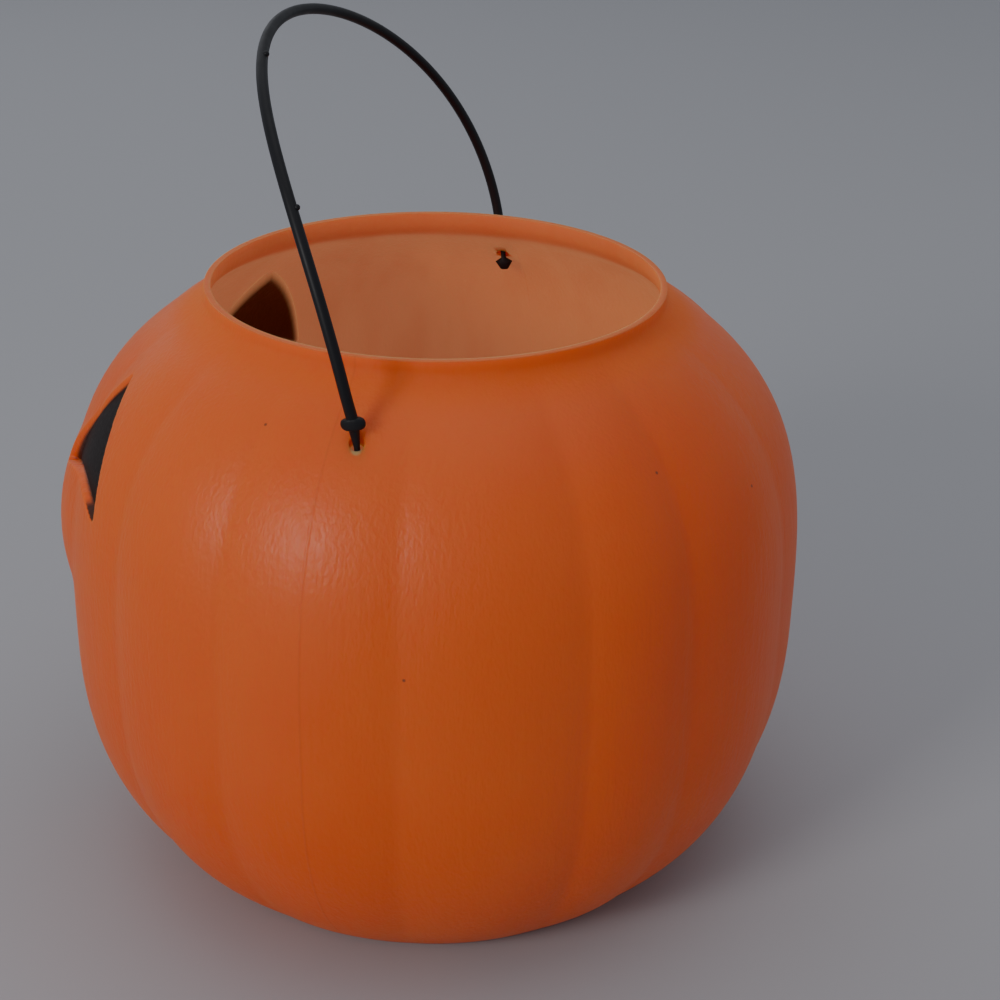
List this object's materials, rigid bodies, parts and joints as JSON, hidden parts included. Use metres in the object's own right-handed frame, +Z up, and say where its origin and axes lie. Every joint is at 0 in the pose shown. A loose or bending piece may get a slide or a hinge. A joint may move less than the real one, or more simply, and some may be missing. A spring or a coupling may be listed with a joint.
{
  "type": "pumpkin candy pail",
  "caption": "Round ribbed pumpkin-shaped plastic pail with an open top, a sunk painted jack-o'-lantern face and a thin moulded swing handle for carrying sweets.",
  "frame": {"origin": "middle of the base, on the floor", "axes": "+Z up, the face looks along -Y, and the handle turns about a line close to X; the pail's own left is +X"},
  "size_m": [0.2152, 0.2137, 0.2473],
  "materials": {
    "orange_plastic": "satin, slightly translucent polyethylene with a fine orange-peel skin",
    "black_paint": "satin sprayed paint",
    "black_plastic": "semi-gloss injection-moulded plastic"
  },
  "bodies": {
    "pail": {"pail_shell": "orange_plastic", "left_eye_paint": "black_paint", "right_eye_paint": "black_paint", "nose_paint": "black_paint", "mouth_paint": "black_paint"},
    "bail": {"handle": "black_plastic"}
  },
  "joints": [
    {"name": "handle_swing", "type": "hinge", "parent": "pail", "child": "bail", "pos_m": [0, 0.001, 0.1583], "axis": [0.9987, 0.0506, 0], "range_deg": [-29, 14]}
  ]
}
